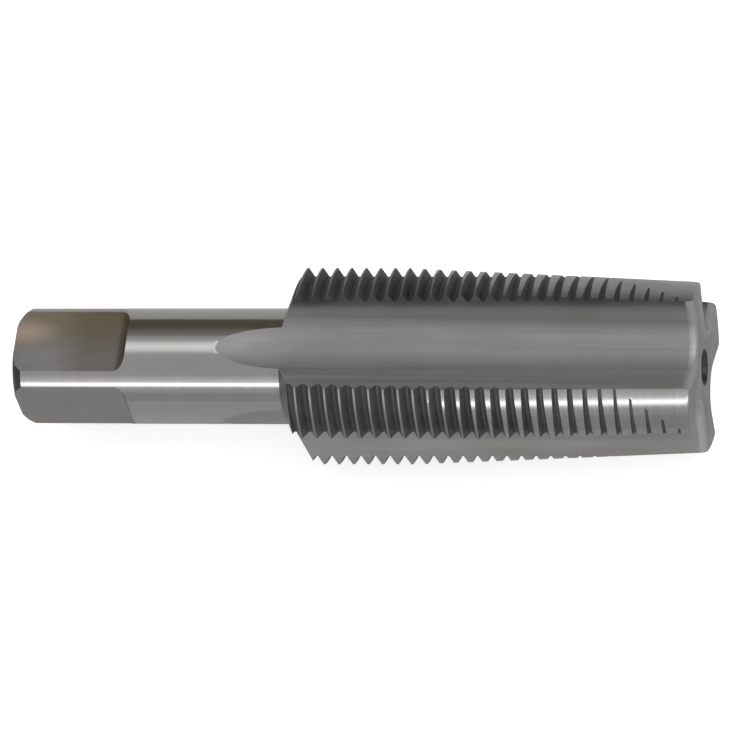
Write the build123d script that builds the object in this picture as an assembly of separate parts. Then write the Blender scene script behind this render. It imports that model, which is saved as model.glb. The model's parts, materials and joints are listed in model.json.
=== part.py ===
from build123d import *

import math
import os

os.makedirs("parts", exist_ok=True)

# A right-hand hand tap for M27 x 2 thread, ground from one bar of high-speed steel.
# Lengths are in millimetres and angles in degrees. Along the tool, every place is
# measured from the drive end. Round the tool, angles run from +Y towards +Z.

# Driving dimensions: the whole tool.
overall_length = 93.4
shank_diameter = 15.6
drive_end_bevel_length = 1.35
drive_end_bevel_depth = 1.15

# Driving dimensions: the square drive.
square_across_flats = 12.5
square_length = 14.2
square_runout_radius = 1.7
square_turn = 74.75

# Driving dimensions: the threaded body.
thread_diameter = 27.0
thread_pitch = 2.0
thread_start_phase = 0.835
shoulder_start = 37.05
shoulder_length = 2.6
lead_length = 33.2
lead_drop_at_tip = 1.58
lead_eccentricity = 1.1
tip_chamfer_length = 0.75
tip_chamfer_depth = 0.45

# Driving dimensions: the flutes.
flute_count = 4
flute_width_angle = 56.7
flute_bottom_offset = 0.6
core_radius_at_tip = 5.4
core_radius_at_runout = 6.05
flute_straight_end = 39.0
flute_cutter_radius = 34.0

# Driving dimensions: the centre holes that the tool is ground between.
tip_centre_radius = 2.5
drive_centre_radius = 1.9
centre_countersink_angle = 60.0
centre_drill_share = 0.42
centre_drill_length = 2.5

# Worked out from the driving dimensions.
shank_radius = shank_diameter / 2
thread_radius = thread_diameter / 2
land_angle = 360 / flute_count - flute_width_angle
thread_depth = 0.6134 * thread_pitch
root_radius = thread_radius - thread_depth
lead_start = overall_length - lead_length
rest_height = thread_radius * math.cos(math.radians(flute_width_angle / 2))
clear = 2.0


def turned_blank():
    """The bar as turned: bevelled drive end, shank, sloping shoulder and thread body."""
    outline = Polyline(
        (0, 0),
        (shank_radius - drive_end_bevel_depth, 0),
        (shank_radius, drive_end_bevel_length),
        (shank_radius, shoulder_start),
        (thread_radius, shoulder_start + shoulder_length),
        (thread_radius, overall_length),
        (0, overall_length),
        close=True,
    )
    return revolve(Plane.XZ * make_face(outline), Axis.Z)


def square_flat_cutter(turn):
    """What the mill removes for one flat, with the cutter's radius where it runs out."""
    floor = square_across_flats / 2
    top = shank_radius + clear
    runout_end = square_length + square_runout_radius
    arc_middle = (
        floor + square_runout_radius * (1 - math.cos(math.radians(45))),
        square_length + square_runout_radius * math.sin(math.radians(45)),
    )
    outline = (
        Polyline(
            (floor + square_runout_radius, runout_end),
            (top, runout_end),
            (top, -clear),
            (floor, -clear),
            (floor, square_length),
        )
        + ThreePointArc(
            (floor, square_length),
            arc_middle,
            (floor + square_runout_radius, runout_end),
        )
    )
    flat = extrude(Plane.XZ * make_face(outline), shank_diameter / 2, both=True)
    return Rot(0, 0, turn) * flat


def flute_section(core_radius):
    """One flute across the tool: a radial cutting face, a round bottom and a sloping heel."""
    half_angle = math.radians(flute_width_angle / 2)
    sine = math.sin(half_angle)
    cosine = math.cos(half_angle)
    bottom_radius = (core_radius * sine - flute_bottom_offset * cosine) / (1 - sine)
    centre = Vector(core_radius + bottom_radius, -flute_bottom_offset)
    face_touch = centre - bottom_radius * Vector(sine, cosine)
    face_top = (thread_radius + clear) * Vector(cosine, -sine)
    heel = thread_radius * Vector(cosine, sine)
    to_centre = centre - heel
    swing = math.asin(bottom_radius / to_centre.length)
    heel_slope = math.atan2(to_centre.Y, to_centre.X) - swing
    run = math.sqrt(to_centre.length**2 - bottom_radius**2)
    along = Vector(math.cos(heel_slope), math.sin(heel_slope))
    heel_touch = heel + run * along
    heel_top = heel - clear * 2 * along
    bottom = Vector(core_radius, -flute_bottom_offset)
    outline = (
        Polyline(face_touch, face_top, heel_top, heel_touch)
        + ThreePointArc(heel_touch, bottom, face_touch)
    )
    return make_face(outline)


def flute_cutter(turn):
    """One flute: straight from the tip to the run-out, then the milling cutter's own sweep."""
    straight_length = overall_length + clear - flute_straight_end
    tip_section = Pos(0, 0, overall_length + clear) * flute_section(core_radius_at_tip)
    runout_section = Pos(0, 0, flute_straight_end) * flute_section(core_radius_at_runout)
    straight = loft([runout_section, tip_section])
    wheel_centre = (core_radius_at_runout + flute_cutter_radius, 0, flute_straight_end)
    runout = revolve(runout_section, Axis(wheel_centre, (0, -1, 0)), 60)
    return Rot(0, 0, turn) * (straight + runout)


def lead_relief(land_turn):
    """What the grinding wheel takes off one land: a taper that drops further at the heel.

    The tool is ground about an axis set off towards the cutting edge, so what is kept
    lies inside a cone with that axis. It has the full thread radius at the middle of
    the land at lead_start, and reaches the heel earlier and the cutting edge later.
    """
    slope = lead_drop_at_tip / lead_length
    start_radius = math.hypot(thread_radius, lead_eccentricity)
    early = 9.0
    past_tip = 2.0
    kept = Pos(0, lead_eccentricity, lead_start - early) * Cone(
        start_radius + slope * early,
        start_radius - slope * (lead_length + past_tip),
        early + lead_length + past_tip,
        align=(Align.CENTER, Align.CENTER, Align.MIN),
    )
    reach = 1.5 * thread_radius
    width = reach * math.tan(math.radians(40))
    sector = Polyline((0, 0), (reach, -width), (reach, width), close=True)
    wedge_length = early + lead_length + past_tip / 2
    wedge = Pos(0, 0, lead_start - early) * extrude(make_face(sector), wedge_length)
    return Rot(0, 0, land_turn) * (wedge - kept)


def groove_across_a_land():
    """One turn's stretch of the helical groove over one land: a vee with a narrow flat root."""
    overcut = 0.15
    root_half_width = thread_pitch / 12
    top_half_width = root_half_width + (thread_depth + overcut) * math.tan(math.radians(30))
    outline = Polyline(
        (0, -root_half_width),
        (thread_depth + overcut, -top_half_width),
        (thread_depth + overcut, top_half_width),
        (0, root_half_width),
        close=True,
    )
    sweep_angle = land_angle + 10
    path = Helix(thread_pitch, thread_pitch * sweep_angle / 360, root_radius)
    profile_plane = Plane(origin=path @ 0, x_dir=(1, 0, 0), z_dir=(0, -1, 0))
    groove = sweep(profile_plane * make_face(outline), path, is_frenet=True)
    return Pos(0, 0, -thread_pitch * sweep_angle / 720) * Rot(0, 0, -sweep_angle / 2) * groove


def thread_grooves():
    """Every stretch of the right-hand groove, one pitch further on for each turn."""
    groove = groove_across_a_land()
    first = thread_start_phase + thread_pitch * math.floor(shoulder_start / thread_pitch)
    turns = math.ceil((overall_length - first) / thread_pitch)
    grooves = []
    for land in range(flute_count):
        land_turn = (land + 0.5) * 360 / flute_count
        for turn in range(turns):
            along = first + thread_pitch * (turn + land_turn / 360)
            grooves.append(Pos(0, 0, along) * Rot(0, 0, land_turn) * groove)
    return grooves


def centre_hole(mouth_radius):
    """A lathe centre hole, opening at z = 0 and going up: a countersink and a drilled end."""
    drill_radius = mouth_radius * centre_drill_share
    half_angle = math.radians(centre_countersink_angle / 2)
    countersink_depth = (mouth_radius - drill_radius) / math.tan(half_angle)
    outline = Polyline(
        (0, -clear),
        (mouth_radius + clear * math.tan(half_angle), -clear),
        (drill_radius, countersink_depth),
        (drill_radius, countersink_depth + centre_drill_length),
        (0, countersink_depth + centre_drill_length + drill_radius),
        close=True,
    )
    return revolve(Plane.XZ * make_face(outline), Axis.Z)


def fluted_body():
    """Everything but the thread: the blank with its square, flutes, lead and edges."""
    body = turned_blank()
    for step in range(4):
        body -= square_flat_cutter(square_turn + 90 * step)
    for step in range(flute_count):
        body -= flute_cutter(step * 360 / flute_count)
    for step in range(flute_count):
        body -= lead_relief((step + 0.5) * 360 / flute_count)
    tip_face = body.faces().sort_by(Axis.Z)[-1]
    tip_edges = tip_face.outer_wire().edges()
    body = chamfer(tip_edges, tip_chamfer_depth, tip_chamfer_length, reference=tip_face)
    body -= centre_hole(drive_centre_radius)
    body -= Pos(0, 0, overall_length) * Rot(180, 0, 0) * centre_hole(tip_centre_radius)
    return body


def main():
    tap = fluted_body() - thread_grooves()
    rest_frame = Plane(
        origin=(-overall_length / 2, 0, rest_height),
        x_dir=(0, 1, 0),
        z_dir=(1, 0, 0),
    )
    tap = rest_frame * tap
    export_step(tap, "parts/thread_tap.step")


if __name__ == "__main__":
    main()
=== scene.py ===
# %% [markdown]
# # A hand tap, ground from one bar
# A tap is the tool that cuts a thread inside a hole. This one is a single bar of
# high-speed steel: a square at one end for the wrench, a plain round shank, and a
# threaded body with four straight flutes that let the chips out. Over the last
# third the threads are ground away in a long taper, the lead, so that the tool can
# start in a plain hole. The lesson makes it in the order in which it is made in the
# shop: turn the blank, mill the square, grind the flutes and the lead, and cut the
# thread last.

import json
import math
from functools import partial

import bmesh
import bpy
from mathutils import Matrix, Vector

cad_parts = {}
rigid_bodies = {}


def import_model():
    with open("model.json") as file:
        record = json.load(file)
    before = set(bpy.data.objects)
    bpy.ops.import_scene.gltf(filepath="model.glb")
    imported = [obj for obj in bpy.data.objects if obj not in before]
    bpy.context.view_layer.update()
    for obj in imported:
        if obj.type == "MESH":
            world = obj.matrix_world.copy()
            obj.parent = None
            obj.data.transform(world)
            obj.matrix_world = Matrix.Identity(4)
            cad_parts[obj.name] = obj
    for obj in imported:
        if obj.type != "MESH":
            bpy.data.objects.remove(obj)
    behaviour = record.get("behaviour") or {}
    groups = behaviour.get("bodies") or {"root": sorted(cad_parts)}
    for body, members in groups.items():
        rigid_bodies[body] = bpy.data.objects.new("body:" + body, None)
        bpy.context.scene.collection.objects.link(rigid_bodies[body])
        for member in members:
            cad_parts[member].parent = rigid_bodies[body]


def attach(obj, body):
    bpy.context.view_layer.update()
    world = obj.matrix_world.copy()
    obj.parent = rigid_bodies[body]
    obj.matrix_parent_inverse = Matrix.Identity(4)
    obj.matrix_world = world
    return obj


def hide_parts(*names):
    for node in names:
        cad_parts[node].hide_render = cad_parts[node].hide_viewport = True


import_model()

for left_over in [thing for thing in bpy.data.objects if thing.name in ("Cube", "Light", "Camera")]:
    bpy.data.objects.remove(left_over)

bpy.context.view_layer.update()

# %% [markdown]
# ## The sizes on the drawing
# A machinist reads every size in millimetres, so the tool is modelled standing up in
# millimetres, drive end at zero and tip at the top, and is laid down and turned into
# metres at the very end. Writing the sizes once, with their own names, lets each
# later step read like the drawing. Every cutter reaches a little clear of the metal,
# so that no cut ends exactly on a surface.

# %% The tool's sizes in millimetres
overall_length = 93.4
shank_radius = 7.8
drive_bevel_length = 1.35
drive_bevel_depth = 1.15
thread_radius = 13.5
thread_pitch = 2.0
thread_depth = 0.6134 * thread_pitch
root_radius = thread_radius - thread_depth
shoulder_start = 37.05
shoulder_length = 2.6
flute_count = 4
flute_width = math.radians(56.7)
land_width = math.tau / flute_count - flute_width
rest_height = thread_radius * math.cos(flute_width / 2)
clear = 2.0
quarter = math.radians(90)
print(f"thread depth {thread_depth:.3f} mm, axis {rest_height:.3f} mm above the bench")

# %% [markdown]
# ## A skin over rings
# The blank, the flute cutter and the lead cutter are all the same kind of surface: a
# row of rings with the same number of points, with quads between one ring and the
# next and a cap on both ends. One small helper makes them all. It is plain bmesh,
# because the rings come from formulas, and it recalculates the normals so that every
# cutter is a closed shape that faces outwards. Boolean cuts need exactly that. Each
# face also gets the number of the surface that it leaves on the tool, which decides
# its finish later.

# %% A helper that skins closed rings
workshop = bpy.data.collections.new("workshop")
bpy.context.scene.collection.children.link(workshop)

SHANK, BODY, DRIVE_END, TIP_FACE, MILLED, FLUTED, MOUTH, RELIEVED, CENTRED, THREADED = range(10)


def skin_rings(name, rings, bands, caps=None):
    """A closed mesh through rings of points. bands and caps number the surface of each face."""
    shape = bmesh.new()
    rows = [[shape.verts.new(point) for point in ring] for ring in rings]
    count = len(rows[0])
    bands = bands if isinstance(bands, (list, tuple)) else [bands] * (len(rows) - 1)
    caps = caps or (bands[0], bands[-1])
    marks = []
    for lower, upper, band in zip(rows, rows[1:], bands):
        for i in range(count):
            j = (i + 1) % count
            shape.faces.new((lower[i], lower[j], upper[j], upper[i]))
            marks.append(band)
    shape.faces.new(rows[0])
    shape.faces.new(rows[-1])
    marks.extend(caps)
    bmesh.ops.recalc_face_normals(shape, faces=shape.faces)
    mesh = bpy.data.meshes.new(name)
    shape.to_mesh(mesh)
    shape.free()
    surface = mesh.attributes.new("surface", "INT", "FACE")
    surface.data.foreach_set("value", marks)
    made = bpy.data.objects.new(name, mesh)
    workshop.objects.link(made)
    print(f"{name}: {len(mesh.vertices)} points, {len(mesh.polygons)} faces")
    return made


# %% [markdown]
# ## The turned blank
# The bar starts as a turned blank: a small bevel at the drive end, the long shank, a
# sloping shoulder and the body that the thread is cut from. Spinning the half
# outline round the axis is the natural way to make it, and here the spin is a row of
# rings of points. A ring has a point every degree, and a ring comes at least every
# millimetre and a half, so the long highlight on the finished shank has no facets in
# it and the later cuts leave no long thin faces. The bevel swells out a little in its
# middle, as a hand-broken edge does.

# %% Turn the blank
points_around = 360
ring_gap = 1.5
bevel_swell = 0.1


def ring(radius, height, points=points_around):
    turns = [math.tau * i / points for i in range(points)]
    return [(radius * math.cos(turn), radius * math.sin(turn), height) for turn in turns]


blank_corners = (
    (shank_radius - drive_bevel_depth, 0, DRIVE_END),
    (
        shank_radius - 0.5 * drive_bevel_depth + bevel_swell,
        0.5 * drive_bevel_length - bevel_swell,
        DRIVE_END,
    ),
    (shank_radius, drive_bevel_length, SHANK),
    (shank_radius, shoulder_start, BODY),
    (thread_radius, shoulder_start + shoulder_length, BODY),
    (thread_radius, overall_length, TIP_FACE),
)
blank_rings = [ring(*blank_corners[0][:2])]
blank_bands = []
for corner, next_corner in zip(blank_corners, blank_corners[1:]):
    radius, height, surface = corner
    next_radius, next_height, _ = next_corner
    steps = math.ceil((next_height - height) / ring_gap)
    for step in range(1, steps + 1):
        share = step / steps
        grown = radius + (next_radius - radius) * share
        blank_rings.append(ring(grown, height + (next_height - height) * share))
        blank_bands.append(surface)
blank = skin_rings("turned_blank", blank_rings, blank_bands, (DRIVE_END, TIP_FACE))

# %% [markdown]
# ## The square
# A wrench turns the tap by a square at the drive end. A side mill cuts each of its
# four flats to a fixed depth and leaves its own corner radius where it stops. The
# cutter here is that missing metal: the outline of the mill's path seen from the
# side, pushed straight across the bar. The node tree later repeats it four times.

# %% One flat of the square
square_half = 6.25
square_length = 14.2
square_runout = 1.7
square_turn = math.radians(74.75)
mill_half_width = 10
corner_steps = 16


def flat_outline():
    """The mill's path seen from the side: the flat, the mill's corner radius, and back above the bar."""
    top = shank_radius + clear
    runout_end = square_length + square_runout
    outline = [(square_half, -clear)]
    for step in range(corner_steps + 1):
        turn = quarter * step / corner_steps
        deeper = square_runout * (1 - math.cos(turn))
        further = square_runout * math.sin(turn)
        outline.append((square_half + deeper, square_length + further))
    return [*outline, (top, runout_end), (top, -clear)]


flat_sides = [
    [(x, across, z) for x, z in flat_outline()] for across in (-mill_half_width, mill_half_width)
]
flat_cutter = skin_rings("square_flat_cutter", flat_sides, MILLED)

# %% [markdown]
# ## The flutes
# A flute is the channel that carries chips away and forms the cutting edges. Seen
# along the tool it has a straight radial face, which is the cutting face, a round
# bottom, and a sloping heel. The grinding wheel runs straight down the body and then
# lifts out over the shank in an arc of its own radius, which leaves the pointed
# scallop there. The cutter follows the same path: one section at every station,
# straight first and then swung round the wheel's centre. On the way to the tip the
# wheel goes a little deeper and its heel side opens by a few degrees. At the tip the
# last rings grow a little, which rounds the flute's mouth as the polished edge of a
# real one.

# %% The section of a flute
core_at_tip = 5.4
core_at_runout = 6.05
flute_offset = 0.6
heel_turn_at_tip = math.radians(4.0)
bottom_steps = 40
side_steps = 5


def flute_section(core_radius, grown=0.0, heel_turn=0.0):
    """Points across one flute, which opens towards +X.

    grown widens it evenly all round, and heel_turn opens it on the heel's side only.
    """
    sine, cosine = math.sin(flute_width / 2), math.cos(flute_width / 2)
    radius = (core_radius * sine - flute_offset * cosine) / (1 - sine)
    centre = Vector((core_radius + radius, -flute_offset))
    heel_angle = flute_width / 2 + heel_turn
    heel = thread_radius * Vector((math.cos(heel_angle), math.sin(heel_angle)))
    to_centre = centre - heel
    slope = math.atan2(to_centre.y, to_centre.x) - math.asin(radius / to_centre.length)
    along = Vector((math.cos(slope), math.sin(slope)))
    face_side = Vector((-sine, -cosine))
    heel_side = Vector((along.y, -along.x))
    wide = radius + grown
    first = math.atan2(heel_side.y, heel_side.x) % math.tau
    last = math.atan2(face_side.y, face_side.x) % math.tau
    turns = [first + (last - first) * step / bottom_steps for step in range(bottom_steps + 1)]
    bottom = [centre + wide * Vector((math.cos(turn), math.sin(turn))) for turn in turns]
    heel_top = heel - 2 * clear * along + grown * heel_side
    face_top = (thread_radius + clear) * Vector((cosine, -sine)) + grown * face_side
    heel_points = [heel_top.lerp(bottom[0], step / side_steps) for step in range(side_steps)]
    face_points = [bottom[-1].lerp(face_top, step / side_steps) for step in range(1, side_steps + 1)]
    return [*heel_points, *bottom, *face_points]


print("flute section points:", len(flute_section(core_at_tip)))

# %% The wheel's path along the tool
flute_straight_end = 39.0
wheel_radius = 34.0
wheel_swing = 60
cutter_end = overall_length + clear


def rounded_edge(length, depth, steps=8):
    """Heights and cuts of a rounded edge at the tip: length along the tool, depth across it."""
    rounding = []
    for step in range(steps + 1):
        turn = quarter * step / steps
        height = overall_length - length * (1 - math.sin(turn))
        rounding.append((height, depth * (1 - math.cos(turn))))
    return [*rounding, (cutter_end, depth)]


def swung(point, swing):
    """A point of the flute's section, carried round the wheel's centre."""
    arm = core_at_runout + wheel_radius
    reach = arm - point[0]
    return (arm - reach * math.cos(swing), point[1], flute_straight_end - reach * math.sin(swing))


def flute_rings(mouth):
    """Every ring of the cutter: swung round the wheel's centre, then straight, then the mouth."""
    section = flute_section(core_at_runout)
    swings = [math.radians(wheel_swing - step) for step in range(wheel_swing + 1)]
    rings = [[swung(point, swing) for point in section] for swing in swings]
    straight_steps = math.floor(mouth[0][0] - flute_straight_end)
    straight = [(flute_straight_end + step, 0.0) for step in range(1, straight_steps + 1)]
    for height, grown in straight + mouth:
        share = (height - flute_straight_end) / (cutter_end - flute_straight_end)
        core = core_at_runout + (core_at_tip - core_at_runout) * share
        section = flute_section(core, grown, heel_turn_at_tip * share)
        rings.append([(x, y, height) for x, y in section])
    return rings


flute_mouth = rounded_edge(1.1, 0.55)
flute_path = flute_rings(flute_mouth)
mouth_bands = len(flute_mouth) - 1
flute_bands = [FLUTED] * (len(flute_path) - 1 - mouth_bands) + [MOUTH] * mouth_bands
flute_cutter = skin_rings("flute_cutter", flute_path, flute_bands)

# %% [markdown]
# ## The lead
# Over the last third a wheel takes the crests off each land, more and more towards
# the tip and a little more at the back of the land than at its cutting edge. That
# extra drop, the relief, keeps the back from rubbing in the hole. A grinder makes it
# by turning the tool off centre, so the ground surface is a cone whose axis runs
# beside the tool's, on the side of the cutting edge. Its distance from the tool's
# own axis follows from that offset. The lands are ground one after another and are
# never quite alike, so each has its own start, taper and offset. The cutter is the
# metal outside the cone, and ends in the small rounded edge round the tip.

# %% The ground surface of a land
land_grinds = (
    {"start": 60.2, "taper": 0.0478, "offset": 1.19},
    {"start": 60.9, "taper": 0.0452, "offset": 0.75},
    {"start": 60.2, "taper": 0.045, "offset": 1.1},
    {"start": 60.2, "taper": 0.0478, "offset": 1.0},
)


def lead_radius(turn, height, grind):
    """How far the lead surface lies from the axis, at an angle from the land's middle."""
    offset = grind["offset"]
    cone = math.hypot(thread_radius, offset) - grind["taper"] * (height - grind["start"])
    return offset * math.sin(turn) + math.sqrt(cone**2 - (offset * math.cos(turn)) ** 2)


for grind in land_grinds:
    back = thread_radius - lead_radius(-land_width / 2, overall_length, grind)
    edge = thread_radius - lead_radius(land_width / 2, overall_length, grind)
    print(f"the crest has dropped {back:.2f} mm at the back and {edge:.2f} mm at the edge by the tip")

# %% The cutters for the four lands
lead_cutter_start = 50
lead_cutter_reach = 20.0
lead_edge = rounded_edge(0.7, 0.3)
lead_turns = [math.radians(angle) for angle in range(-40, 41)]
lead_straight = [(height, 0.0) for height in range(lead_cutter_start, math.floor(lead_edge[0][0]))]
lead_heights = lead_straight + lead_edge


def lead_ring(height, cut, grind, land_turn):
    """The metal outside the lead surface at one height: its inner side, and back round outside."""
    ground = min(height, overall_length)
    inner = [(lead_radius(turn, ground, grind) - cut, turn) for turn in lead_turns]
    outer = [(lead_cutter_reach, turn) for turn in reversed(lead_turns)]
    return [
        (radius * math.cos(turn + land_turn), radius * math.sin(turn + land_turn), height)
        for radius, turn in inner + outer
    ]


lead_cutters = []
for number_of_land, grind in enumerate(land_grinds):
    land_turn = (number_of_land + 0.5) * math.tau / flute_count
    rings = [lead_ring(height, cut, grind, land_turn) for height, cut in lead_heights]
    lead_cutters.append(skin_rings(f"lead_cutter_{number_of_land + 1}", rings, RELIEVED))

# %% [markdown]
# ## The centre holes
# The tool is held between two points while it is turned and ground, so each end face
# has a 60 degree centre hole with a small drilled end. It is turned like the blank,
# from its own outline.

# %% Centre hole cutters
tip_centre_radius = 2.5
drive_centre_radius = 1.9
drill_share = 0.42
drill_length = 2.5
drill_point = 0.02
centre_slope = math.tan(math.radians(30))
centre_points_around = 72


def centre_cutter(name, mouth, start, inward):
    """A countersink and its drilled end, from an end face at start, going inward."""
    drill = drill_share * mouth
    depth = (mouth - drill) / centre_slope
    outline = (
        (mouth + clear * centre_slope, -clear),
        (drill, depth),
        (drill, depth + drill_length),
        (drill_point, depth + drill_length + drill),
    )
    rings = [ring(radius, start + inward * height, centre_points_around) for radius, height in outline]
    return skin_rings(name, rings, CENTRED)


tip_centre = centre_cutter("tip_centre_cutter", tip_centre_radius, overall_length, -1)
drive_centre = centre_cutter("drive_centre_cutter", drive_centre_radius, 0, 1)

# %% [markdown]
# ## The node tree
# Everything on this tool comes in fours, except the thread, which is one long helix.
# Both follow a rule, so a Geometry Nodes tree does the work: it sets four copies of
# a cutter round the axis, sweeps the thread's vee along a spiral, and cuts them all
# from the blank. The sizes that a reader may want to change are named inputs. Nodes
# are added by one helper, which works for every kind of tree in Blender, so the
# finishes, the floor and the lamps use it too.

# %% Helpers that add a node
def wire(nodes_of, socket, value):
    """Give a socket a value, or link it where the value is another node's output."""
    if isinstance(value, bpy.types.NodeSocket):
        nodes_of.links.new(value, socket)
    else:
        socket.default_value = value


def add_node(nodes_of, kind, inputs=(), label="", **settings):
    """A new node in a tree. inputs is pairs of a socket's name or place and what goes in."""
    made = nodes_of.nodes.new(kind)
    made.label = label
    for name, value in settings.items():
        setattr(made, name, value)
    for key, value in inputs:
        wire(nodes_of, made.inputs[key], value)
    return made


def calculate(nodes_of, operation, *values):
    """One Math node and its result."""
    return add_node(nodes_of, "ShaderNodeMath", enumerate(values), operation=operation).outputs[0]


# %% Start the tree and name its inputs
tree = bpy.data.node_groups.new("tap_ground_from_bar", "GeometryNodeTree")
tree.interface.new_socket("Geometry", in_out="INPUT", socket_type="NodeSocketGeometry")
tree.interface.new_socket("Geometry", in_out="OUTPUT", socket_type="NodeSocketGeometry")

tree_sizes = {
    "Flute Count": ("NodeSocketInt", flute_count),
    "Thread Pitch": ("NodeSocketFloat", thread_pitch),
    "Thread Turns": ("NodeSocketFloat", 30.5),
    "Thread Start": ("NodeSocketFloat", 34.835),
    "Thread Root Radius": ("NodeSocketFloat", root_radius),
    "Steps Per Turn": ("NodeSocketInt", 240),
    "Length To Lay Down": ("NodeSocketFloat", overall_length),
    "Axis Height": ("NodeSocketFloat", rest_height),
}
size_socket = {}
for title, (kind, value) in tree_sizes.items():
    size_socket[title] = tree.interface.new_socket(title, in_out="INPUT", socket_type=kind)
    size_socket[title].default_value = value

node = partial(add_node, tree)
number = partial(calculate, tree)
given = node("NodeGroupInput")
wanted = node("NodeGroupOutput")
print("named inputs:", ", ".join(tree_sizes))

# %% [markdown]
# ## Four copies of a cutter
# A point is set at the origin for each flute, and the cutter is instanced on it,
# turned by its number times a quarter turn. The copies stay instances until the cut,
# so the solver takes each of them as a closed shape of its own.

# %% A pattern round the axis
def whole(thing):
    """An object's own shape, as the tree reads it."""
    source = node("GeometryNodeObjectInfo", [("Object", thing)], thing.name, transform_space="ORIGINAL")
    return source.outputs["Geometry"]


def around_the_axis(cutter, first_turn):
    """Instances of a cutter, one for each flute, starting at first_turn."""
    count = given.outputs["Flute Count"]
    spots = node("GeometryNodeMeshLine", [("Count", count), ("Offset", (0, 0, 0))], mode="OFFSET")
    index = node("GeometryNodeInputIndex").outputs[0]
    share = number("DIVIDE", math.tau, count)
    turn = number("ADD", number("MULTIPLY", index, share), first_turn)
    spin = node("ShaderNodeCombineXYZ", [("Z", turn)])
    wiring = [("Points", spots.outputs["Mesh"]), ("Instance", whole(cutter)), ("Rotation", spin.outputs[0])]
    return node("GeometryNodeInstanceOnPoints", wiring).outputs[0]


flats = around_the_axis(flat_cutter, square_turn)
flutes = around_the_axis(flute_cutter, 0)
print("first flat at", round(math.degrees(square_turn), 2), "degrees, first flute at 0")

# %% [markdown]
# ## The thread
# A metric thread is a 60 degree vee with a narrow flat at the root. The vee is drawn
# as a small closed curve and swept along a spiral that climbs one pitch in a turn.
# With its normals kept upright, the vee always points straight at the axis. Its
# upper corners flare out just below the crest, which takes the knife edge off each
# crest and leaves the fine bright line that a handled tool has there.

# %% The vee
crest_break = 0.05
vee_top = thread_depth + 0.16
vee_slope = math.tan(math.radians(30))
root_half = thread_pitch / 12
crest_half = root_half + (thread_depth - crest_break) * vee_slope
flare_half = 0.975 * thread_pitch / 2
half_vee = ((vee_top, flare_half), (thread_depth - crest_break, crest_half), (0, root_half))
vee_corners = [(x, -y, 0) for x, y in reversed(half_vee)] + [(x, y, 0) for x, y in half_vee]
vee_edges = [(i, (i + 1) % len(vee_corners)) for i in range(len(vee_corners))]
vee_mesh = bpy.data.meshes.new("thread_vee")
vee_mesh.from_pydata(vee_corners, vee_edges, [])
vee = bpy.data.objects.new("thread_vee", vee_mesh)
workshop.objects.link(vee)
print(f"vee {2 * crest_half:.3f} mm wide just below the crest, {2 * root_half:.3f} mm at its root")

# %% Sweep the groove along a helix
turns, pitch = given.outputs["Thread Turns"], given.outputs["Thread Pitch"]
spiral_sizes = [
    ("Resolution", given.outputs["Steps Per Turn"]),
    ("Rotations", turns),
    ("Start Radius", given.outputs["Thread Root Radius"]),
    ("End Radius", given.outputs["Thread Root Radius"]),
    ("Height", number("MULTIPLY", turns, pitch)),
    ("Reverse", True),
]
spiral = node("GeometryNodeCurveSpiral", spiral_sizes, "one long groove")
upright = node("GeometryNodeSetCurveNormal", [("Curve", spiral.outputs[0])], mode="Z_UP")
vee_curve = node("GeometryNodeMeshToCurve", [(0, whole(vee))])
swept = node(
    "GeometryNodeCurveToMesh",
    [("Curve", upright.outputs[0]), ("Profile Curve", vee_curve.outputs[0]), ("Fill Caps", True)],
)
marked = node(
    "GeometryNodeStoreNamedAttribute",
    [("Geometry", swept.outputs[0]), ("Name", "surface"), ("Value", THREADED)],
    data_type="INT",
    domain="FACE",
)
groove_place = node("ShaderNodeCombineXYZ", [("Z", given.outputs["Thread Start"])])
groove = node(
    "GeometryNodeTransform",
    [("Geometry", marked.outputs[0]), ("Translation", groove_place.outputs[0])],
).outputs[0]
print("the groove runs", thread_pitch * tree_sizes["Thread Turns"][1], "mm along the tool")

# %% [markdown]
# ## Cut, one operation after another
# Each cut is one Mesh Boolean node, in the order of the work. The Manifold solver is
# exact enough for closed shapes and is fast even on a thread of thirty turns.

# %% The chain of cuts
def cut(metal, cutter):
    """The metal that is left when a cutter has taken its share."""
    both = [("Mesh 1", metal), ("Mesh 2", cutter)]
    made = node("GeometryNodeMeshBoolean", both, solver="MANIFOLD", operation="DIFFERENCE")
    return made.outputs["Mesh"]


leads = [whole(cutter) for cutter in lead_cutters]
cuts = (flats, flutes, *leads, whole(tip_centre), whole(drive_centre), groove)
body = given.outputs["Geometry"]
for cutter in cuts:
    body = cut(body, cutter)
print(len(cuts), "cuts, the thread last")

# %% [markdown]
# ## Crisp edges, and laid on the bench
# A ground tool has smooth surfaces that meet in crisp edges. So every face is shaded
# smooth, and only edges that turn by more than 24 degrees are kept sharp. Then the
# tool is laid down: turned so that its length runs along X, lifted until it rests on
# two lands, and scaled from millimetres to metres.

# %% Shade and place
crisp_angle = math.radians(24)
millimetre = 0.001


def compare(operation, a, b, kind="FLOAT"):
    """A comparison of two numbers. The node has a pair of sockets for each kind of number."""
    places = {"FLOAT": (0, 1), "INT": (2, 3)}[kind]
    made = node("FunctionNodeCompare", zip(places, (a, b)), data_type=kind, operation=operation)
    return made.outputs[0]


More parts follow.
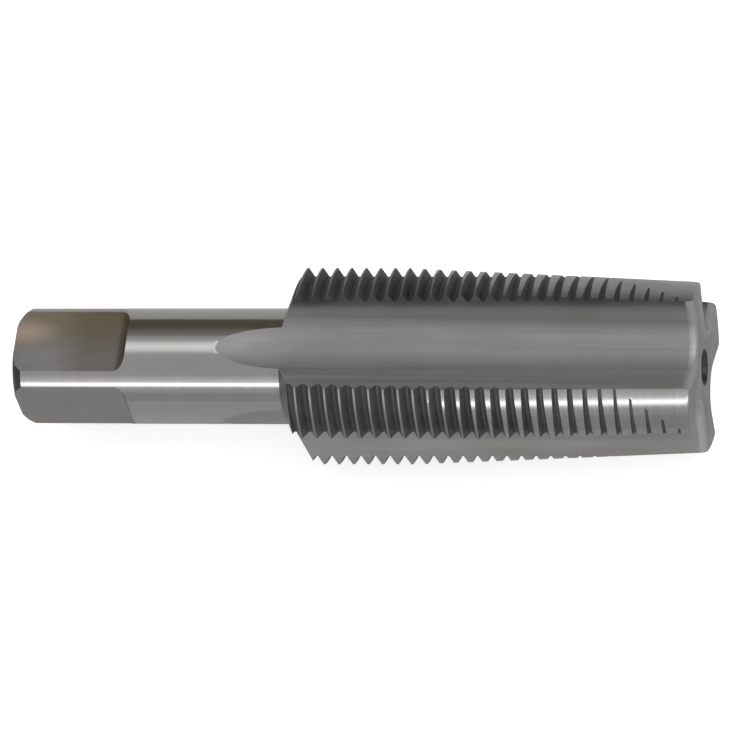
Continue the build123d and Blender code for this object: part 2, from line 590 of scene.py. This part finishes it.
turn_at_edge = node("GeometryNodeInputMeshEdgeAngle").outputs["Unsigned Angle"]
crisp = compare("GREATER_THAN", turn_at_edge, crisp_angle)
all_smooth = [("Geometry", body), ("Shade Smooth", True)]
smooth_faces = node("GeometryNodeSetShadeSmooth", all_smooth, domain="FACE")
but_crisp = [("Geometry", smooth_faces.outputs[0]), ("Selection", crisp), ("Shade Smooth", False)]
sharp_edges = node("GeometryNodeSetShadeSmooth", but_crisp, domain="EDGE")
half_length = number("MULTIPLY", given.outputs["Length To Lay Down"], -millimetre / 2)
axis_height = number("MULTIPLY", given.outputs["Axis Height"], millimetre)
bench_place = node("ShaderNodeCombineXYZ", [("X", half_length), ("Z", axis_height)])
laying_down = [
    ("Geometry", sharp_edges.outputs[0]),
    ("Translation", bench_place.outputs[0]),
    ("Rotation", (quarter, 0, quarter)),
    ("Scale", (millimetre, millimetre, millimetre)),
]
laid_down = node("GeometryNodeTransform", laying_down, "on the bench")
realized = node("GeometryNodeRealizeInstances", [("Geometry", laid_down.outputs[0])])
print("nodes in the tree so far:", len(tree.nodes))

# %% [markdown]
# ## Finishes that share one recipe
# The tool is one steel all over, and what differs is how each surface was left: the
# shank is ground round, so its fine lines run round the bar and stretch a highlight
# along it. The flutes and the square are cut lengthwise. A finish is therefore
# one recipe with a few settings. The pattern reads Object coordinates, moved so that
# the axis is at zero and counted in millimetres, and the noise is squeezed in one
# direction so that it turns into grinding lines.

# %% Helpers for a finish
def opaque(colour):
    """A colour with its fourth number, as a socket wants it."""
    return (*colour, 1)


def pattern(steel, place, repeats, detail, rough_share=0.5):
    """A noise. repeats is how often it repeats along, across and up, per millimetre."""
    squeezed = add_node(steel, "ShaderNodeMapping", [("Vector", place), ("Scale", repeats)])
    settings = [("Scale", 1.0), ("Detail", detail), ("Roughness", rough_share)]
    made = add_node(steel, "ShaderNodeTexNoise", [("Vector", squeezed.outputs[0]), *settings])
    return made.outputs["Fac"]


def spread(steel, noise, low, high):
    """A noise stretched, so that nearly all of it lies between low and high."""
    ends = [("From Min", 0.3), ("From Max", 0.7), ("To Min", low), ("To Max", high)]
    return add_node(steel, "ShaderNodeMapRange", [("Value", noise), *ends]).outputs[0]


def ramp(steel, value, start, end):
    """A soft step, from none at start to all at end."""
    ends = [("Value", value), ("From Min", start), ("From Max", end)]
    return add_node(steel, "ShaderNodeMapRange", ends, interpolation_type="SMOOTHSTEP").outputs[0]


def blend(steel, kind, share, under, over):
    """Two colours mixed: over laid on under by a share."""
    wiring = [("Factor", share), ("A", under), ("B", over)]
    return add_node(steel, "ShaderNodeMix", wiring, data_type="RGBA", blend_type=kind).outputs["Result"]


# %% [markdown]
# ## Where shade is painted on the steel
# Shade is painted into the steel's colour in a few places. The square's far side is
# painted darker and olive, and the square is painted darker towards its run-outs. By
# the drive end it is lighter and warmer. The strip of shank beside the square is
# painted darker as well, and so are the far sides of the flutes and of the lead. Each
# mark is a share between none and all, worked out from a point's place on the tool,
# so it stays on the steel whichever way the tool is turned.

# %% The shares of the painted shade
patch_repeats = (0.09, 0.2, 0.2)
far_side_starts = -1.5
far_side_is_full = 4.5


def far_side(steel, place, across, radius, fade):
    """The far side of the tool, where shade is painted, in patches and only from a radius outwards."""
    off_axis = add_node(steel, "ShaderNodeVectorMath", [(0, place), (1, (0, 1, 1))], operation="MULTIPLY")
    distance = add_node(steel, "ShaderNodeVectorMath", [(0, off_axis.outputs[0])], operation="LENGTH")
    outer = ramp(steel, distance.outputs["Value"], radius, radius + fade)
    patches = spread(steel, pattern(steel, place, patch_repeats, 3.0), 0.6, 1.0)
    far = ramp(steel, across, far_side_starts, far_side_is_full)
    return calculate(steel, "MULTIPLY", calculate(steel, "MULTIPLY", far, patches), outer)


def warm_patch(steel, place, centre=(-45.5, 3.2, 6.0), reach=(5.5, 2.4, 3.0)):
    """A soft oval patch, which fades from its centre to its reach along, across and up."""
    oval = [("Vector", place), ("Location", centre), ("Scale", reach)]
    inside = add_node(steel, "ShaderNodeMapping", oval, vector_type="TEXTURE").outputs[0]
    fading = add_node(steel, "ShaderNodeTexGradient", [("Vector", inside)], gradient_type="SPHERICAL")
    return fading.outputs["Fac"]


# %% The recipe for ground steel
cloud_repeats = (0.11, 0.16, 0.16)
bands_per_line = 0.18


def steel_finish(name, tone, tint, rough, lines, depth, contrast, **extra):
    """A procedural steel, cloudy between tone and tint, with grinding lines.

    rough is its roughness. lines is how often the grinding lines repeat along, across and
    up, per millimetre, depth is how deep they are in millimetres, and contrast how much
    they vary the colour. It also takes any of these:
    stretch pulls highlights out along the tool, or across it where grain_turn is 0.25.
    stain is the colour of the painted shade on the far side, from
    stain_radius off the axis and full stain_fade further out, and
    stain_dull is how much rougher it is there. scorch is a colour that
    darkens the steel as painted shade, and the stretches along and across over which it
    sets in. blush is the colour of the lighter, warmer patch at the drive end.
    """
    material = bpy.data.materials.new(name)
    material.use_nodes = True
    steel = material.node_tree
    shader = steel.nodes["Principled BSDF"]
    shader.inputs["Metallic"].default_value = 1.0

    on_object = add_node(steel, "ShaderNodeTexCoord").outputs["Object"]
    axis_at_zero = [("Vector", on_object), ("Location", (0, 0, -rest_height)), ("Scale", (1000, 1000, 1000))]
    place = add_node(steel, "ShaderNodeMapping", axis_at_zero).outputs[0]
    where = add_node(steel, "ShaderNodeSeparateXYZ", [(0, place)]).outputs

    grain = pattern(steel, place, lines, 3.0, 0.6)
    bands = pattern(steel, place, tuple(bands_per_line * repeats for repeats in lines), 2.0)
    clouds = pattern(steel, place, cloud_repeats, 4.0, 0.6)
    colour = blend(steel, "MIX", spread(steel, clouds, 0.0, 1.0), opaque(tone), opaque(tint))
    roughness = spread(steel, bands, 0.88 * rough, 1.14 * rough)

    # Painted shade: the far side is darkened and dulled in patches.
    if "stain" in extra:
        radius, fade = extra.get("stain_radius", 0.0), extra.get("stain_fade", 0.4)
        stained = far_side(steel, place, where["Y"], radius, fade)
        colour = blend(steel, "MIX", stained, colour, opaque(extra["stain"]))
        duller = extra.get("stain_dull", 0.7) * rough
        roughness = calculate(steel, "MULTIPLY_ADD", stained, duller, roughness)
    # Painted shade: a darker patch, set in by place along and across the tool.
    if "scorch" in extra:
        scorch, along, across = extra["scorch"]
        sides = (ramp(steel, where["X"], *along), ramp(steel, where["Y"], *across))
        colour = blend(steel, "MULTIPLY", calculate(steel, "MULTIPLY", *sides), colour, opaque(scorch))
    if "blush" in extra:
        colour = blend(steel, "MIX", warm_patch(steel, place), colour, opaque(extra["blush"]))

    fine = spread(steel, grain, 1 - contrast, 1 + contrast)
    coarse = spread(steel, bands, 1 - 1.2 * contrast, 1 + 1.2 * contrast)
    shade = calculate(steel, "MULTIPLY", fine, coarse)
    scratches = [("Strength", 1.0), ("Distance", depth * millimetre), ("Height", grain)]
    wire(steel, shader.inputs["Base Color"], blend(steel, "MULTIPLY", 1.0, colour, shade))
    wire(steel, shader.inputs["Roughness"], roughness)
    wire(steel, shader.inputs["Normal"], add_node(steel, "ShaderNodeBump", scratches).outputs["Normal"])

    stretch = extra.get("stretch", 0.5)
    shader.inputs["Anisotropic"].default_value = stretch
    shader.inputs["Anisotropic Rotation"].default_value = extra.get("grain_turn", 0.0)
    if stretch > 0:
        along_the_tool = add_node(steel, "ShaderNodeCombineXYZ", [("X", 1.0)])
        wire(steel, shader.inputs["Tangent"], along_the_tool.outputs[0])
    return material


# %% [markdown]
# ## One finish for each way of working the steel
# The round grinding of the shank and the lead pulls every highlight out into a line
# along the tool, so their stretch is strong. The flutes and the square were cut
# lengthwise, which spreads a highlight across them instead, so their grain is turned
# by a quarter. The end faces were turned, and the tangent would point straight out of
# them, so they have no stretch at all. The drive end and the centre holes are painted
# nearly black, which is painted shade. The thread's grooves are darker, and the wheel
# leaves them rough.

# %% The finishes of this tap
round_lines = (9.0, 0.25, 0.25)
long_lines = (0.12, 5.0, 5.0)
short_lines = (1.2, 6.0, 6.0)
groove_lines = (0.6, 3.0, 3.0)

finishes = {
    SHANK: steel_finish(
        "shank_ground_round", (0.255, 0.25, 0.242), (0.24, 0.234, 0.224),
        rough=0.18, lines=round_lines, depth=0.0002, contrast=0.012, stretch=0.8,
        # The strip of shank by the square is painted darker on its far side: painted shade.
        scorch=((0.55, 0.52, 0.44), (-31.0, -32.6), (5.6, 6.1)),
    ),
    BODY: steel_finish(
        "thread_crests_ground", (0.19, 0.187, 0.187), (0.16, 0.157, 0.158),
        rough=0.42, lines=round_lines, depth=0.0004, contrast=0.04,
    ),
    DRIVE_END: steel_finish(
        # Painted shade: the drive end is painted nearly black.
        "drive_end_dark", (0.07, 0.07, 0.072), (0.045, 0.046, 0.048),
        rough=0.45, lines=short_lines, depth=0.001, contrast=0.1, stretch=0.0,
    ),
    TIP_FACE: steel_finish(
        "tip_face_faced", (0.14, 0.138, 0.142), (0.115, 0.113, 0.117),
        rough=0.4, lines=short_lines, depth=0.001, contrast=0.06, stretch=0.0,
    ),
    MILLED: steel_finish(
        "square_milled", (0.2, 0.197, 0.197), (0.178, 0.172, 0.166),
        # The far side of the square is painted darker and olive: painted shade.
        rough=0.36, lines=short_lines, depth=0.0006, contrast=0.03, grain_turn=0.25, stain=(0.16, 0.14, 0.1),
        # The square is painted darker towards its run-outs: painted shade.
        scorch=((0.74, 0.71, 0.66), (-42.0, -36.0), (-4.2, -2.6)),
        blush=(0.36, 0.27, 0.228),
    ),
    FLUTED: steel_finish(
        "flute_ground_along", (0.24, 0.236, 0.237), (0.216, 0.214, 0.204),
        rough=0.62, lines=long_lines, depth=0.0005, contrast=0.025, grain_turn=0.25,
        # The far side of the flutes is painted darker from 9.8 mm out: painted shade.
        stain=(0.07, 0.067, 0.07), stain_radius=9.8, stain_fade=2.8,
    ),
    MOUTH: steel_finish(
        "flute_mouth_polished", (0.29, 0.286, 0.29), (0.264, 0.26, 0.264),
        rough=0.56, lines=long_lines, depth=0.0003, contrast=0.03, grain_turn=0.25,
    ),
    RELIEVED: steel_finish(
        "lead_ground", (0.232, 0.229, 0.232), (0.209, 0.206, 0.209),
        rough=0.174, lines=round_lines, depth=0.0003, contrast=0.025, stretch=0.55,
        # The far side of the lead is painted darker and duller: painted shade.
        stain=(0.185, 0.182, 0.185), stain_dull=1.6,
    ),
    CENTRED: steel_finish(
        # Painted shade: the centre holes are painted nearly black.
        "centre_hole_turned", (0.06, 0.06, 0.06), (0.04, 0.04, 0.04),
        rough=0.4, lines=short_lines, depth=0.001, contrast=0.06, stretch=0.0,
    ),
    THREADED: steel_finish(
        "thread_grooves_dark", (0.115, 0.11, 0.115), (0.08, 0.076, 0.081),
        rough=0.68, lines=groove_lines, depth=0.0012, contrast=0.08,
    ),
}
print("finishes:", ", ".join(material.name for material in finishes.values()))

# %% [markdown]
# ## Give each surface its finish
# Every face still carries the number of the step that made it, because the cuts pass
# it on. The tree ends with one Set Material node for each number.

# %% The end of the tree
surface = node("GeometryNodeInputNamedAttribute", [("Name", "surface")], data_type="INT").outputs[0]
finished = realized.outputs[0]
for surface_number, material in finishes.items():
    chosen = compare("EQUAL", surface, surface_number, "INT")
    wiring = [("Geometry", finished), ("Selection", chosen), ("Material", material)]
    finished = node("GeometryNodeSetMaterial", wiring, material.name).outputs[0]
wire(tree, wanted.inputs[0], finished)
print("nodes in the finished tree:", len(tree.nodes))

# %% [markdown]
# ## From the tree to a plain mesh
# The tree is run once on the blank, with every input set by its identifier before
# the first evaluation. Its result is kept as a plain mesh, and the cutters and the
# modifier go.

# %% Run the tree and keep the result as a plain mesh
grinding = blank.modifiers.new("ground_from_bar", "NODES")
grinding.node_group = tree
for title, (_, value) in tree_sizes.items():
    grinding[size_socket[title].identifier] = value
bpy.context.view_layer.update()
graph = bpy.context.evaluated_depsgraph_get()
tap_mesh = bpy.data.meshes.new_from_object(blank.evaluated_get(graph))
blank.modifiers.remove(grinding)

tap = bpy.data.objects.new("hand_tap", tap_mesh)
bpy.context.scene.collection.objects.link(tap)
tap_mesh.name = "hand_tap"
triangles = sum(len(face.vertices) - 2 for face in tap_mesh.polygons)
print(f"hand_tap: {len(tap_mesh.polygons)} faces, {triangles} triangles")

for thing in list(workshop.objects):
    bpy.data.objects.remove(thing)
bpy.data.collections.remove(workshop)

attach(tap, "root")
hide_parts("thread_tap")

# %% [markdown]
# ## Floor
# A plain pale floor, wide enough to fill every view. It shows nearly white, and the
# steel reflects it a little darker, as paper lit from above is. It still takes the
# soft shadow of the tool. Seen from below it is clear, so that the underside of the
# tool can be looked at too.

# %% What the camera and mirrors see
def seen_rays(nodes_of, camera_share, mirror_share):
    """camera_share for what the camera sees, mirror_share for what shows in metal or glass."""
    paths = add_node(nodes_of, "ShaderNodeLightPath")
    total = 0.0
    for ray, share in (("Camera", camera_share), ("Glossy", mirror_share), ("Transmission", mirror_share)):
        total = calculate(nodes_of, "MULTIPLY_ADD", paths.outputs[f"Is {ray} Ray"], share, total)
    return total


# %% The floor
floor_reach = 6.0
floor_lift = 0.56
floor_lift_in_mirrors = 0.05
floor_corners = [(x * floor_reach, y * floor_reach, 0) for x, y in ((-1, -1), (1, -1), (1, 1), (-1, 1))]
floor_mesh = bpy.data.meshes.new("floor")
floor_mesh.from_pydata(floor_corners, [], [(0, 1, 2, 3)])
floor = bpy.data.objects.new("floor", floor_mesh)
bpy.context.scene.collection.objects.link(floor)

paper = bpy.data.materials.new("white_paper")
paper.use_nodes = True
sheet = paper.node_tree
top_side = sheet.nodes["Principled BSDF"]
top_side.inputs["Base Color"].default_value = (0.8, 0.8, 0.8, 1)
top_side.inputs["Roughness"].default_value = 0.9
top_side.inputs["Specular IOR Level"].default_value = 0.0
top_side.inputs["Emission Color"].default_value = (1, 1, 1, 1)
wire(sheet, top_side.inputs["Emission Strength"], seen_rays(sheet, floor_lift, floor_lift_in_mirrors))
from_below = add_node(sheet, "ShaderNodeNewGeometry").outputs["Backfacing"]
clear_side = add_node(sheet, "ShaderNodeBsdfTransparent").outputs[0]
two_sides = [(0, from_below), (1, top_side.outputs[0]), (2, clear_side)]
either = add_node(sheet, "ShaderNodeMixShader", two_sides)
wire(sheet, sheet.nodes["Material Output"].inputs["Surface"], either.outputs[0])
floor_mesh.materials.append(paper)
print("floor laid,", 2 * floor_reach, "m square")

# %% [markdown]
# ## The white room
# Ground steel has no colour of its own to show: it shows the room. So the world is
# plain white where it is seen or mirrored, and a little weaker as a light, because
# the lamps add the rest.

# %% The world
world = bpy.data.worlds.new("studio")
world.use_nodes = True
bpy.context.scene.world = world
sky = world.node_tree
plain = sky.nodes["Background"]
plain.inputs["Color"].default_value = (1, 1, 1, 1)
plain.inputs["Strength"].default_value = 0.62
white = add_node(sky, "ShaderNodeBackground", [("Color", (1, 1, 1, 1)), ("Strength", 1.0)])
skies = [(0, seen_rays(sky, 1.0, 1.0)), (1, plain.outputs[0]), (2, white.outputs[0])]
sky_mix = add_node(sky, "ShaderNodeMixShader", skies)
wire(sky, sky.nodes["World Output"].inputs["Surface"], sky_mix.outputs[0])
print("world strength:", round(plain.inputs["Strength"].default_value, 2))

# %% [markdown]
# ## Softboxes
# A round bar mirrors the room as thin lines along its length. A long narrow softbox
# in front draws the fine bright line low on the shank, with a wide faint one round it
# for the glow beside the line, and another behind draws the broad soft band above it.
# They fade out towards their long edges, as the cloth of a softbox does, so the lines
# have no hard borders. A small one at the tip end lights the scoop where each flute
# runs out.

# %% A softbox that fades towards its edges
def softbox(name, place, length, width, radiance, fade):
    """An area light at place, pointing at the tool. Its first side lies along the tool."""
    lamp = bpy.data.lights.new(name, "AREA")
    lamp.shape = "RECTANGLE"
    lamp.size = length
    lamp.size_y = width
    lamp.energy = radiance * math.pi * length * width
    lamp.use_nodes = True
    cloth = lamp.node_tree
    spot = add_node(cloth, "ShaderNodeNewGeometry").outputs["Parametric"]
    across = add_node(cloth, "ShaderNodeSeparateXYZ", [(0, spot)]).outputs["Y"]
    hump = calculate(cloth, "MULTIPLY", across, calculate(cloth, "SUBTRACT", 1.0, across))
    soft = calculate(cloth, "POWER", calculate(cloth, "MULTIPLY", hump, 4.0), fade)
    wire(cloth, cloth.nodes["Emission"].inputs["Strength"], soft)

    made = bpy.data.objects.new(name, lamp)
    back = Vector(place).normalized()
    side = (Vector((1, 0, 0)) - back * back.x).normalized()
    frame_axes = Matrix((side, back.cross(side), back)).transposed()
    made.matrix_world = Matrix.Translation(Vector(place)) @ frame_axes.to_4x4()
    bpy.context.scene.collection.objects.link(made)
    print(name, "power", round(lamp.energy, 2), "W")


# %% The four softboxes
def beside_the_axis(bearing, distance):
    """A place beside the tool. bearing is the angle round X, from +Y towards +Z."""
    turn = math.radians(bearing)
    return (0.0, distance * math.cos(turn), distance * math.sin(turn))


softbox("front_strip", beside_the_axis(143.0, 0.9), length=1.6, width=0.16, radiance=5.0, fade=2.0)
softbox("front_glow", beside_the_axis(138.0, 1.0), length=1.6, width=0.5, radiance=0.65, fade=1.5)
softbox("back_softbox", beside_the_axis(67.5, 1.0), length=1.6, width=0.54, radiance=1.45, fade=1.5)
softbox("tip_softbox", (0.46, 0.2, 0.86), length=0.45, width=0.45, radiance=5.4, fade=0.5)

# %% [markdown]
# ## Cards
# A steel bar in an even room looks like grey plastic. What makes it look like metal is
# a darker stretch in what it mirrors. So a tall card stands behind, brown at its foot
# and pale at its top, and draws the dark line along the back of the shank. A low card
# in front, nearly white, takes the glare off the shank below its bright line, and one
# beyond the drive end darkens the bevel, the square's run-outs and the shoulder. The
# camera doesn't see the cards. The steel does.

# %% A standing card
def card(name, corners, shades, glow=0.0):
    """A card that the camera doesn't see. shades is pairs of a height in metres and a colour."""
    mesh = bpy.data.meshes.new(name)
    mesh.from_pydata(corners, [], [(0, 1, 2, 3)])
    made = bpy.data.objects.new(name, mesh)
    bpy.context.scene.collection.objects.link(made)

    paint = bpy.data.materials.new(name + "_paint")
    paint.use_nodes = True
    coat = paint.node_tree
    on_object = add_node(coat, "ShaderNodeTexCoord").outputs["Object"]
    height = add_node(coat, "ShaderNodeSeparateXYZ", [(0, on_object)]).outputs["Z"]
    shading = add_node(coat, "ShaderNodeValToRGB", [("Fac", height)])
    stops = shading.color_ramp.elements
    for stop, (position, shade) in zip(stops, (shades[0], shades[-1])):
        stop.position, stop.color = position, opaque(shade)
    for position, shade in shades[1:-1]:
        stops.new(position).color = opaque(shade)
    shader = coat.nodes["Principled BSDF"]
    wire(coat, shader.inputs["Base Color"], shading.outputs["Color"])
    shader.inputs["Emission Color"].default_value = (1, 1, 1, 1)
    shader.inputs["Emission Strength"].default_value = glow

    mesh.materials.append(paint)
    made.visible_camera = False
    print(name, "with", len(shades), "shades")


# %% The three cards
card(
    "back_card",
    [(-1.6, 1.0, 0), (1.6, 1.0, 0), (1.6, 1.0, 1.0), (-1.6, 1.0, 1.0)],
    (
        (0.44, (0.28, 0.237, 0.17)),
        (0.56, (0.5, 0.47, 0.41)),
        (0.72, (0.62, 0.6, 0.56)),
        (0.9, (0.86, 0.85, 0.83)),
        (1.0, (0.97, 0.97, 0.97)),
    ),
)
card(
    "front_card",
    [(-1.6, -1.0, 0), (1.6, -1.0, 0), (1.6, -1.0, 0.36), (-1.6, -1.0, 0.36)],
    ((0.0, (0.94, 0.93, 0.95)), (0.36, (0.97, 0.97, 0.97))),
    glow=0.07,
)
card(
    "drive_end_card",
    [(-1.0, -1.0, 0), (-1.0, 1.0, 0), (-1.0, 1.0, 1.0), (-1.0, -1.0, 1.0)],
    ((0.7, (0.5, 0.47, 0.42)), (1.0, (0.8, 0.79, 0.77))),
)

# %% [markdown]
# ## The camera
# A long lens from a metre away keeps the tool's sides almost parallel. It looks down
# on the tool from in front and from the tip's side, and is turned a little, so that
# the tool lies slightly uphill in the frame.

# %% The camera
distance = 1.071
target = Vector((0.0006, 0.0, rest_height / 1000))
to_camera = Vector((0.21967, -0.27462, 0.93612)).normalized()
across_axis = Vector((0, -0.28150, 0.95957))
yaw = math.radians(12.69)
roll = math.radians(0.107)
flat_right = (math.cos(yaw) * Vector((1, 0, 0)) - math.sin(yaw) * across_axis).normalized()
flat_up = to_camera.cross(flat_right)
right = flat_right * math.cos(roll) + flat_up * math.sin(roll)
up = to_camera.cross(right)
camera = bpy.data.objects.new("camera", bpy.data.cameras.new("camera"))
bpy.context.scene.collection.objects.link(camera)
camera_axes = Matrix((right, up, to_camera)).transposed()
camera.matrix_world = Matrix.Translation(target + distance * to_camera) @ camera_axes.to_4x4()
camera.data.sensor_width = 36
camera.data.lens = 392.75
camera.data.shift_y = 0.00056
camera.data.clip_start = 0.05
camera.data.clip_end = 50
bpy.context.scene.camera = camera
bpy.context.scene.view_settings.view_transform = "Standard"
print("camera", round(distance, 3), "m away")
